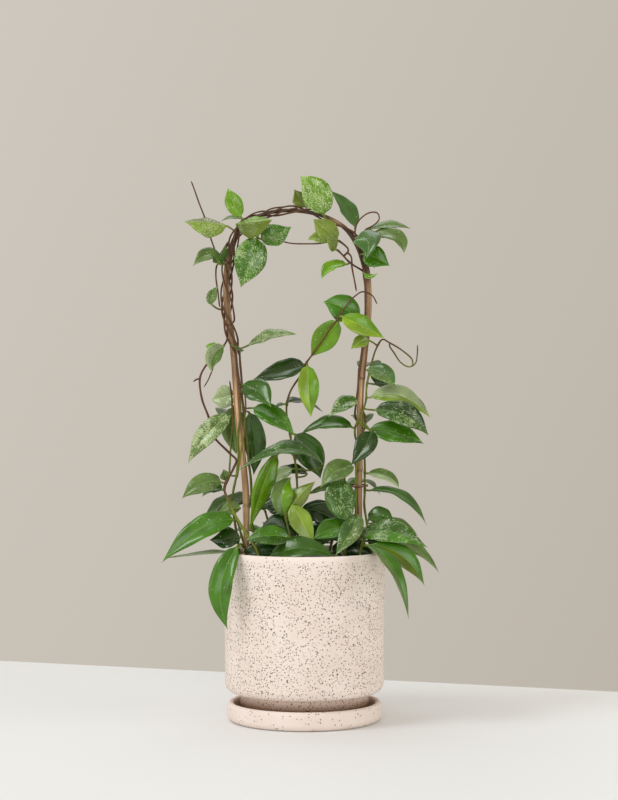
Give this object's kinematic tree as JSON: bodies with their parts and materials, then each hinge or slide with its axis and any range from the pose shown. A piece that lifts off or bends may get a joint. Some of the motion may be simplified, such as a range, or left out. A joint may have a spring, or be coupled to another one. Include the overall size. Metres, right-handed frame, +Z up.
{
  "type": "potted hoya pubicalyx",
  "caption": "Potted hoya vine with lance-shaped leaves, trained up a bent cane hoop, in a speckled ceramic pot standing on a matching saucer.",
  "frame": {"origin": "centre of the flat underside of the saucer, which stands on the table", "axes": "+Z up, -Y towards the viewer of the picture, +X to the viewer's right along the plane of the hoop"},
  "size_m": [0.2727, 0.2081, 0.5423],
  "materials": {
    "speckled_ceramic": "matt bisque-like glaze, cream with fine dark brown speckles",
    "potting_soil": "damp dark potting mix of bark and peat",
    "cane": "dry peeled cane, tan with brown streaks",
    "tie": "paper-covered wire twist tie",
    "foliage": "waxy green leaf blades, some flecked silver, on green and brown stems"
  },
  "bodies": {
    "root": {"saucer": "speckled_ceramic", "pot": "speckled_ceramic", "soil": "potting_soil", "cane_hoop": "cane", "twist_tie": "tie", "left_arch_vine": "foliage", "left_twining_vine": "foliage", "left_loop_vine": "foliage", "left_rim_shoot": "foliage", "centre_vine": "foliage", "centre_front_shoot": "foliage", "right_arch_vine": "foliage", "right_shoulder_vine": "foliage", "right_green_vine": "foliage", "right_front_shoot": "foliage", "right_rim_shoot": "foliage", "back_left_shoot": "foliage", "back_right_shoot": "foliage"}
  },
  "joints": []
}
